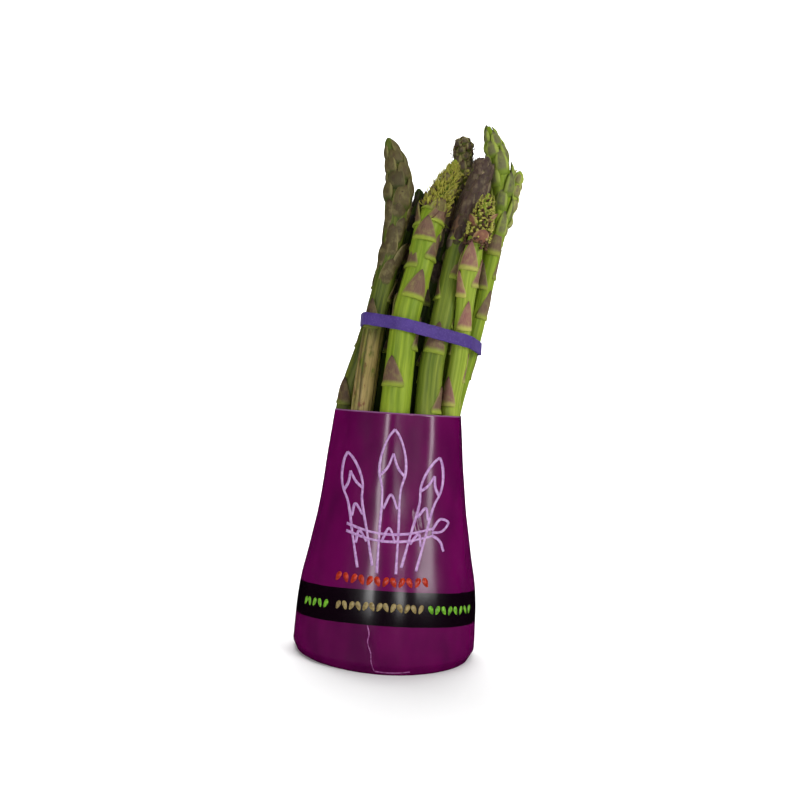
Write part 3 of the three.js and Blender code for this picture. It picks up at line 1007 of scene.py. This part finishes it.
def grow_spear(number, node, plan):
    """One whole spear: its ribbed stem, its scale leaves and its head, as one piece."""
    spine = Spine(node)
    blunt = plan.get("blunt", 0.0) * MM
    fit = plan.get("fit", STEM_FIT)
    curve = spine.curve(node + " line", plan["head"] * MM, plan["core"], blunt, fit)
    parts = [grown(STEM_TREE, curve, node + " stem", {
        "Sides": STEM_SIDES,
        "Ribs": STEM_RIBS,
        "Rib Depth": RIB_DEPTH,
        "Shrivel": plan["shrivel"] * MM,
        "Seed": float(number),
        "Skin": SKINS[plan["skin"]],
        "Cut Face": CUT_FACE,
    })]
    for index, growth in enumerate(plan["growths"]):
        values = growth_values(growth, spine, 10 * number + index)
        parts.append(grown(GROWTH_TREE, curve, f"{node} growth {index}", values))
    bpy.data.objects.remove(curve)
    piece = joined(parts, "asparagus_" + node[-2:])
    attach(piece, "root")
    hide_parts(node)
    return piece


for number, (node, plan) in enumerate(SPEARS.items(), 1):
    grow_spear(number, node, plan)

for template in TEMPLATES.values():
    bpy.data.objects.remove(template)

# ---- The sleeve ----


class FilmSurface:
    """The sleeve's outer face, read from its solid: a reach from the middle at each bearing.

    A bearing is 0 at the front (-Y) and grows towards +X.
    """

    def __init__(self, node):
        rings = loose_rings(node)
        self.heights = np.array(list(rings))
        self.bearings = np.linspace(0, TAU, 361)
        self.reach = []
        for ring in rings.values():
            reach = np.hypot(*ring.T)
            bearing = np.arctan2(ring[:, 0], -ring[:, 1]) % TAU
            outer = {}
            for b, r in zip(np.round(bearing, 4), reach):
                outer[b] = max(outer.get(b, 0), r)
            keys = np.array(sorted(outer))
            values = np.array([outer[k] for k in keys])
            self.reach.append(np.interp(self.bearings, keys, values, period=TAU))
        half = 3 * SMOOTHING
        spread = np.exp(-((np.arange(-half, half + 1) / SMOOTHING) ** 2))
        spread /= spread.sum()
        around = np.array(self.reach)[:, :-1]
        around = sum(part * np.roll(around, k - half, axis=1) for k, part in enumerate(spread))
        self.reach = np.concatenate([around, around[:, :1]], axis=1)

    def profile(self, z):
        """The reach at every whole degree of bearing, at one height."""
        bend = self.heights[1]
        if z < bend:
            return self.reach[0] + (self.reach[1] - self.reach[0]) * z / bend
        return smooth_through(np.array([z]), self.heights[1:], self.reach[1:])[0]


film_surface = FilmSurface("sleeve")

# Ridges where the film lies over the two front stems: how far right each is, by height.
RIDGES = [
    {"z": [0, 3, 12, 37, 109], "x": [-2.3, -5, -6.5, -6.7, -6.8], "rise": 0.2, "wide": 5.0},
    {"z": [0, 20, 53, 69, 92, 109], "x": [8.2, 8.3, 7.8, 11, 12.9, 11.6], "rise": 0.2, "wide": 5.0},
]
CREASES = [
    {"from": (-37.5, 42), "to": (-30.5, 30), "depth": 0.6, "wide": 2.0},
    {"from": (30, 44), "to": (36.5, 22), "depth": 0.7, "wide": 1.6},
    {"from": (9, 70), "to": (12.5, 58), "depth": 0.6, "wide": 1.0},
    {"from": (-7.6, 17), "to": (-2.0, 1.5), "depth": 0.5, "wide": 1.4},
]


def film_reach(bearing, z):
    """The sleeve's outer reach with its ridges, creases and slack, for arrays of points."""
    bearing, z = np.asarray(bearing, float) % TAU, np.asarray(z, float)
    reach = np.empty_like(bearing)
    for level in np.unique(z):
        row = z == level
        profile = film_surface.profile(level)
        reach[row] = np.interp(bearing[row], film_surface.bearings, profile)
    x = reach * np.sin(bearing)
    front = np.clip(np.cos(bearing) * 3, 0, 1)
    zmm, xmm = z / MM, x / MM
    shape = np.zeros_like(reach)
    for ridge in RIDGES:
        off = np.abs(xmm - np.interp(zmm, ridge["z"], ridge["x"])) / ridge["wide"]
        shape += ridge["rise"] * (np.exp(-(off**2)) - 0.3 * np.exp(-((off - 3.2) ** 2) / 3)) * front
    for crease in CREASES:
        start, end = np.array(crease["from"], float), np.array(crease["to"], float)
        run = end - start
        t = ((xmm - start[0]) * run[0] + (zmm - start[1]) * run[1]) / (run @ run)
        side = (xmm - start[0]) * -run[1] + (zmm - start[1]) * run[0]
        off = side / np.linalg.norm(run) / crease["wide"]
        ends = np.clip(t * 4, 0, 1) * np.clip((1 - t) * 4, 0, 1)
        shape -= crease["depth"] * ends * front * np.exp(-(off**2))
    slack = np.clip(1 - zmm / 95, 0, 1)
    waves = (
        0.28 * np.sin(5 * bearing + 0.4 + zmm / 31)
        + 0.14 * np.sin(9 * bearing + 2.1 - zmm / 23)
        + 0.03 * np.sin(17 * bearing + zmm / 14)
    )
    shape += waves * (0.25 + 0.75 * slack) * np.clip(zmm / 8, 0.15, 1)
    side_fold = np.abs(np.sin((bearing - math.radians(96)) / 2))
    other_fold = np.abs(np.sin((bearing + math.radians(98)) / 2))
    shape += 0.5 * np.exp(-side_fold * 34) + 0.5 * np.exp(-other_fold * 34)
    foot = np.clip(1 - zmm / 60, 0, 1)
    shape += 2.0 * foot * np.exp(-(((bearing - 1.5 * math.pi) / 0.5) ** 2))
    return reach + shape * MM - 0.3 * MM


def film_point(bearing, z, out=0.0):
    """Points on the sleeve's outer face, or `out` in front of it."""
    reach = film_reach(np.atleast_1d(bearing), np.atleast_1d(z)) + out
    return np.column_stack([reach * np.sin(bearing), -reach * np.cos(bearing), np.atleast_1d(z)])


def make_sleeve():
    """The film as a thin wall that goes up outside and down inside, open at both ends."""
    levels = np.concatenate([
        np.linspace(0, FOOT_HEIGHT, FOOT_LEVELS, endpoint=False),
        np.linspace(FOOT_HEIGHT, SLEEVE_TOP, SLEEVE_LEVELS - FOOT_LEVELS),
    ])
    turns = np.arange(SLEEVE_SIDES) / SLEEVE_SIDES * TAU
    bearing, z = np.meshgrid(turns, levels)
    reach = film_reach(bearing.ravel(), z.ravel()).reshape(bearing.shape)
    outside = np.dstack([reach * np.sin(bearing), -reach * np.cos(bearing), z])
    thin = reach - FILM
    inside = np.dstack([thin * np.sin(bearing), -thin * np.cos(bearing), z])
    rows = np.concatenate([outside, inside[::-1]])
    faces = ring_faces(len(rows), SLEEVE_SIDES, closed=True)
    return closed_mesh("film_sleeve", rows.reshape(-1, 3), faces)


def film_finish():
    """The printed film: glossy purple, a darker stripe round the foot, a painted highlight along
    its top edge, pale inside.
    """
    film = Finish("printed film", Specular_IOR_Level=0.3)
    place = film.place()
    x, y, z = film.parts(place)
    clouds = film.noise(place, 60.0, (1, 1, 0.5), 2.0)
    purple = film.mix(film.between(clouds, 0.3, 0.7), shade(80, 0, 62), shade(98, 0, 74))
    from_front = film.math("ARCTAN2", film.math("ABSOLUTE", x), film.math("MULTIPLY", y, -1.0))
    lift = film.math("MULTIPLY", film.between(from_front, 1.7, 0.0), STRIPE_LIFT)
    printed = film.math("SUBTRACT", z, lift)
    low, high = STRIPE
    above = film.between(printed, low - 0.15 * MM, low + 0.15 * MM)
    under = film.between(printed, high + 0.15 * MM, high - 0.15 * MM)
    stripe = film.math("MULTIPLY", above, under)
    colour = film.mix(stripe, purple, shade(14, 2, 12))
    # Painted highlight: the film's top edge is mixed towards pale lilac, standing in for light
    # caught by its cut edge.
    rim = film.between(z, SLEEVE_TOP - 0.7 * MM, SLEEVE_TOP - 0.4 * MM)
    colour = film.mix(film.math("MULTIPLY", rim, 0.5), colour, shade(170, 120, 168))
    inner = film.add("ShaderNodeNewGeometry").outputs["Normal"]
    inwards = film.vector_math("DOT_PRODUCT", inner, place)["Value"]
    level = film.math("MULTIPLY", film.parts(inner)["Z"], z)
    across = film.math("SUBTRACT", inwards, level)
    colour = film.mix(film.between(across, 0.0, -2 * MM), colour, shade(186, 158, 184))
    film.colour(colour)
    scuffs = film.noise(place, 220.0, (1, 1, 0.25), 3.0, 0.5)
    film.rough(scuffs, 0.18, 0.26)
    crumple = film.noise(place, 70.0, (1, 1, 0.5), 2.0, 0.4)
    film.bump(crumple, 1.0 * MM, 0.3)
    return film.material


sleeve = make_sleeve()
sleeve.data.materials.append(film_finish())
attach(sleeve, "root")
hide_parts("sleeve")

# ---- The print on the sleeve, and the painted highlight on its crease ----
INK_ABOVE = 0.1 * MM  # how far the ink stands off the film, and how far it reaches in
INK_BELOW = 0.15 * MM
MARK_SIZE = 3.5 * MM
MARK_TILT = math.radians(24)


def film_bearing(x, z):
    """The bearing at which the film's front is x across, at height z."""
    bearing = np.arcsin(np.clip(x / FILM_RADIUS, -0.99, 0.99))
    for _ in range(4):
        bearing = np.arcsin(np.clip(x / film_reach(bearing, z), -0.995, 0.995))
    return bearing


def ribbon(line, width):
    """Vertices and faces of a thin closed line of ink. `line` is points x, z on the film, in mm."""
    line = np.array(line, float) * MM
    steps = np.hypot(*np.diff(line, axis=0).T)
    at = np.concatenate([[0], np.cumsum(steps)])
    count = max(int(at[-1] / (0.45 * MM)), 4)
    even = np.linspace(0, at[-1], count)
    path = smooth_through(even, at, line)
    run = np.gradient(path, axis=0)
    run /= np.linalg.norm(run, axis=1)[:, None]
    pen = width * MM / 2 * (0.9 + 0.1 * np.sin(even / MM * 0.3 + 1.3))
    side = np.column_stack([-run[:, 1], run[:, 0]]) * pen[:, None]
    corners = []
    for edge, out in ((1, INK_ABOVE), (-1, INK_ABOVE), (-1, -INK_BELOW), (1, -INK_BELOW)):
        x, z = (path + edge * side).T
        corners.append(film_point(film_bearing(x, z), z, out))
    vertices = np.stack(corners, axis=1).reshape(-1, 3)
    last = 4 * (count - 1)
    ends = [(3, 2, 1, 0), (last, last + 1, last + 2, last + 3)]
    return vertices, ring_faces(count, 4) + ends


def drawn(name, lines):
    """A piece made of ribbons, from lines and their widths in mm."""
    vertices, faces = [], []
    for line, width in lines:
        new, sides = ribbon(line, width)
        faces += [tuple(len(vertices) + k for k in side) for side in sides]
        vertices += list(new)
    return closed_mesh(name, vertices, faces)


def drawn_spear(foot, height, half, lean):
    """Lines for one spear of the emblem: its two sides meeting in a tip, and its leaf marks."""
    lean = math.radians(lean)

    def put(points):
        turned = []
        for x, z in points:
            turned.append((
                foot[0] + x * math.cos(lean) + z * math.sin(lean),
                foot[1] - x * math.sin(lean) + z * math.cos(lean),
            ))
        return turned

    neck = height * 0.58
    lines = []
    for s in (-half, half):
        lines.append(put([
            (s, 0), (s, neck * 0.5), (s, neck), (s * 1.4, neck + height * 0.12),
            (s * 1.25, neck + height * 0.24), (s * 0.55, height * 0.95), (0, height),
        ]))
        lines.append(put([
            (s * 1.3, neck + height * 0.09), (s * 0.55, neck + height * 0.15),
            (0, neck + height * 0.25),
        ]))
    for low, high in ((neck - height * 0.14, neck - height * 0.04),
                      (neck * 0.36, neck * 0.36 + height * 0.1)):
        lines.append(put([(-half * 0.75, low), (0, high), (half * 0.75, low)]))
    return lines


def make_emblem():
    """A line drawing of three tied spears, in pale ink."""
    lines = drawn_spear((-1.3, 42), 60, 4.0, 0)
    lines += drawn_spear((-10.5, 44), 48, 3.2, -13)
    lines += drawn_spear((7.9, 44), 48, 3.2, 13)
    tie = ((-19.5, 1.6), (-10, -0.4), (-1.3, -1), (7.4, -0.4), (16.9, 1.6))
    for z in (56.0, 59.0):
        lines.append([(x, z + rise) for x, rise in tie])
    lines.append([(16.9, 60.0), (20.5, 64.5), (24.0, 63.0), (21.5, 59.5), (16.9, 59.0)])
    lines.append([(16.9, 58.0), (20.5, 55.5), (22.5, 51.0)])
    return drawn("print_emblem", [(line, 1.15) for line in lines])


def make_crease_highlight():
    """A painted highlight: the pale line where the creased film's fold catches the light, down to
    the foot and along it.
    """
    fold = [(-7.8, 20.5), (-6.9, 17), (-7.3, 13.5), (-5.7, 9), (-5.3, 5.5), (-3.9, 1.6)]
    foot = [(-3.6, 1.5), (1, 1.2), (6, 1.3), (11, 1.7)]
    return drawn("film_crease", [(fold, 0.5), (foot, 0.6)])


def leaf_mark():
    """A small flat leaf, 1 tall, that lies on a face whose normal is X."""
    count = 12
    vertices = []
    for x in (INK_ABOVE / MARK_SIZE, -INK_BELOW / MARK_SIZE):
        for k in range(count):
            turn = TAU * k / count
            wide = 0.27 * math.sin(turn) * (1 - 0.35 * math.cos(turn))
            vertices.append((x, wide, -0.5 * math.cos(turn)))
    faces = ring_faces(2, count)
    faces += [tuple(range(count)), tuple(reversed(range(count, 2 * count)))]
    piece = closed_mesh("leaf mark", vertices, faces)
    piece.data.shade_flat()
    return piece


def marks_line(name, places):
    """Points on the film with the way each faces, from x across and height, in mm."""
    x, z = np.array(places, float).T * MM
    bearing = film_bearing(x, z)
    nudge = 0.6 * MM
    at = film_point(bearing, z)
    across = film_point(film_bearing(x + nudge, z), z) - film_point(film_bearing(x - nudge, z), z)
    upwards = film_point(bearing, z + nudge) - film_point(bearing, z - nudge)
    facing = np.cross(across, upwards)
    facing /= np.linalg.norm(facing, axis=1)[:, None]
    upwards /= np.linalg.norm(upwards, axis=1)[:, None]
    piece = mesh_object(name, at, [])
    for key, values in (("facing", facing), ("upwards", upwards)):
        stored = piece.data.attributes.new(key, "FLOAT_VECTOR", "POINT")
        stored.data.foreach_set("vector", values.astype(np.float32).ravel())
    return piece


def ink(name, light, dark, roughness=0.32):
    """Printed ink, a little worn. The crease's painted highlight is made of it too."""
    made = Finish(name, Specular_IOR_Level=0.3)
    wear = made.noise(made.place(), 700.0, (1, 1, 1), 4.0, 0.65)
    made.colour(made.mix(made.between(wear, 0.34, 0.62), dark, light))
    made.rough(wear, roughness - 0.08, roughness + 0.1)
    made.bump(wear, 0.05 * MM, 0.3)
    return made.material


def printed(piece):
    """Puts a piece of the print on the body; the crease's painted highlight goes on the same way.
    """
    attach(piece, "root")
    return piece


def stripe_height(x):
    """The height of the middle of the dark stripe's row of marks, at x across, in mm."""
    return 24.2 + 4.2 * (1 - min(abs(x) / 38, 1) ** 1.8)


emblem = printed(make_emblem())
emblem.data.materials.append(ink("pale lilac ink", shade(196, 156, 206), shade(160, 112, 172)))

# The crease's pale line is a painted highlight along the fold. It uses an ink material, though it
# is not print.
crease = printed(make_crease_highlight())
crease.data.materials.append(ink("painted crease highlight", shade(168, 96, 156), shade(112, 28, 96)))

MARKS_TREE = row_of_marks_tree()
MARK = leaf_mark()
ON_STRIPE = {
    "beige": [-20.8 + 2.9 * k for k in range(13)],
    "green": [
        -35.6, -33.8, -31.5, -29.0, -26.3, 18.4, 21.2, 24.0, 26.7, 29.3, 31.7, 33.9, 35.8
    ],
}
# Each row's places, the height of its marks in mm, and its ink.
MARK_ROWS = {
    "print_marks_orange": (
        [(-21.5 + 3.35 * k, 38.6) for k in range(12)],
        4.4,
        ink("orange ink", shade(188, 50, 16), shade(146, 30, 18)),
    ),
    "print_marks_beige": (
        [(x, stripe_height(x)) for x in ON_STRIPE["beige"]],
        3.9,
        ink("beige ink", shade(160, 142, 92), shade(116, 98, 60)),
    ),
    "print_marks_green": (
        [(x, stripe_height(x)) for x in ON_STRIPE["green"]],
        3.9,
        ink("green ink", shade(120, 186, 40), shade(76, 132, 26)),
    ),
}
for name, (places, size, colour) in MARK_ROWS.items():
    source = marks_line(name + " points", places)
    printed(grown(MARKS_TREE, source, name, {
        "Template": MARK, "Size": size * MM, "Tilt": MARK_TILT, "Ink": colour,
    }))
    bpy.data.objects.remove(source)
bpy.data.objects.remove(MARK)

# ---- The rubber band ----


def make_band():
    """The band: a flat strip with rounded edges, read from its solid's four edges."""
    points = np.array([v.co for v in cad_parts["rubber_band"].data.vertices])
    points = np.unique(np.round(points, 6), axis=0)
    middle = (points[:, :2].min(axis=0) + points[:, :2].max(axis=0)) / 2
    off = points[:, :2] - middle
    bearing = np.arctan2(off[:, 1], off[:, 0]) % TAU
    reach = np.hypot(*off.T)
    order = np.argsort(bearing)
    groups = np.array_split(order, len(order) // 4)
    known, inner, outer, low, high = [], [], [], [], []
    for group in groups:
        known.append(bearing[group].mean())
        inner.append(np.sort(reach[group])[:2].mean())
        outer.append(np.sort(reach[group])[2:].mean())
        low.append(np.sort(points[group, 2])[:2].mean())
        high.append(np.sort(points[group, 2])[2:].mean())
    turns = np.arange(BAND_STEPS) / BAND_STEPS * TAU
    inner, outer, low, high = (
        np.interp(turns, known, values, period=TAU) for values in (inner, outer, low, high)
    )
    corner = 0.34
    section = []
    for start, x, y in ((0, 1, 1), (90, -1, 1), (180, -1, -1), (270, 1, -1)):
        for step in range(5):
            turn = math.radians(start + 22.5 * step)
            section.append((
                x * (1 - corner) + corner * math.cos(turn),
                y * (1 - corner * 0.2) + corner * 0.2 * math.sin(turn),
            ))
    vertices = []
    for k, turn in enumerate(turns):
        thick, tall = (outer[k] - inner[k]) / 2, (high[k] - low[k]) / 2
        ripple = 0.05 * MM * math.sin(23 * turn) + 0.04 * MM * math.sin(41 * turn + 1)
        for across, up in section:
            r = (outer[k] + inner[k]) / 2 + across * thick
            z = (high[k] + low[k]) / 2 + up * (tall + ripple)
            vertices.append((middle[0] + r * math.cos(turn), middle[1] + r * math.sin(turn), z))
    faces = ring_faces(BAND_STEPS, len(section), closed=True)
    return closed_mesh("rubber_band_ring", vertices, faces)


def rubber_finish():
    """Violet rubber: dull, with fine pale bloom."""
    rubber = Finish("violet rubber", Specular_IOR_Level=0.15, Sheen_Weight=0.04)
    place = rubber.place()
    bloom = rubber.noise(place, 1600.0, (1, 1, 1), 3.0, 0.7)
    clouds = rubber.noise(place, 160.0, (1, 1, 1), 2.0)
    colour = rubber.mix(rubber.between(clouds, 0.3, 0.7), shade(64, 42, 114), shade(76, 54, 130))
    colour = rubber.mix(
        rubber.math("MULTIPLY", rubber.between(bloom, 0.5, 0.75), 0.5), colour, shade(112, 92, 164)
    )
    rubber.colour(colour)
    rubber.rough(bloom, 0.5, 0.72)
    rubber.bump(bloom, 0.12 * MM, 0.6)
    return rubber.material


band = make_band()
band.data.materials.append(rubber_finish())
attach(band, "root")
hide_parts("rubber_band")

# ---- Floor, light and camera ----


def make_stage():
    """A seamless pale floor that curves up behind into a backdrop."""
    profile = [(-3.0, 0.0), (1.2, 0.0)]
    for step in range(1, 13):
        turn = math.radians(7.5 * step)
        profile.append((1.2 + 1.0 * math.sin(turn), 1.0 * (1 - math.cos(turn))))
    profile.append((2.2, 4.0))
    vertices, faces = [], []
    for y, z in profile:
        vertices += [(-4, y, z), (4, y, z)]
    for k in range(len(profile) - 1):
        faces.append((2 * k, 2 * k + 1, 2 * k + 3, 2 * k + 2))
    floor = mesh_object("studio_floor", vertices, faces)
    paper = Finish("studio paper", Specular_IOR_Level=0.0)
    fibre = paper.noise(paper.place(), 300.0)
    paper.colour(paper.mix(fibre, (0.93, 0.93, 0.93, 1), (0.95, 0.95, 0.95, 1)))
    paper.rough(fibre, 0.85, 1.0)
    floor.data.materials.append(paper.material)
    floor.visible_glossy = False


def softbox(name, at, towards, wide, tall, power):
    """A soft white light at one place that faces another."""
    data = bpy.data.lights.new(name, "AREA")
    data.shape = "RECTANGLE"
    data.size, data.size_y = wide, tall
    data.energy = power
    light = bpy.data.objects.new(name, data)
    light.location = at
    aim = Vector(towards) - Vector(at)
    light.rotation_euler = aim.to_track_quat("-Z", "Y").to_euler()
    bpy.context.scene.collection.objects.link(light)
    return light


make_stage()
BUNDLE = (0, 0, 0.12)  # where the lights point
CAMERA_ROLL = math.radians(-3.5)
softbox("key", (0.8, -0.75, 0.75), BUNDLE, 0.45, 0.45, 9.0)
for name, at, tall, power in (
    ("left window", (-0.48, -0.87, 0.3), 0.7, 6.5),
    ("middle window", (0.27, -0.96, 0.1), 0.2, 1.5),
    ("right window", (0.8, -0.6, 0.32), 0.5, 4.2),
):
    softbox(name, at, BUNDLE, 0.2, tall, power).visible_diffuse = False
softbox("fill", (-0.9, -0.8, 0.45), BUNDLE, 0.6, 0.6, 3.6).visible_glossy = False
softbox("top", (-0.1, 0.35, 1.1), BUNDLE, 0.7, 0.7, 6.5).visible_glossy = False
softbox("backdrop", (0, 0.7, 1.6), (0, 2.2, 0.7), 1.6, 1.6, 60)

world = bpy.data.worlds.new("studio")
world.use_nodes = True
world.node_tree.nodes["Background"].inputs["Color"].default_value = (1, 1, 1, 1)
world.node_tree.nodes["Background"].inputs["Strength"].default_value = 0.27
scene = bpy.context.scene
scene.world = world
world.cycles_visibility.glossy = False
scene.view_settings.view_transform = "Standard"

camera_data = bpy.data.cameras.new("camera")
camera_data.sensor_width = 36
camera_data.lens = 39.13
camera_data.clip_start = 0.01
camera = bpy.data.objects.new("camera", camera_data)
camera.location = (0, -0.4, 0.1146)
camera.rotation_euler = (math.radians(90), CAMERA_ROLL, 0)
scene.collection.objects.link(camera)
scene.camera = camera
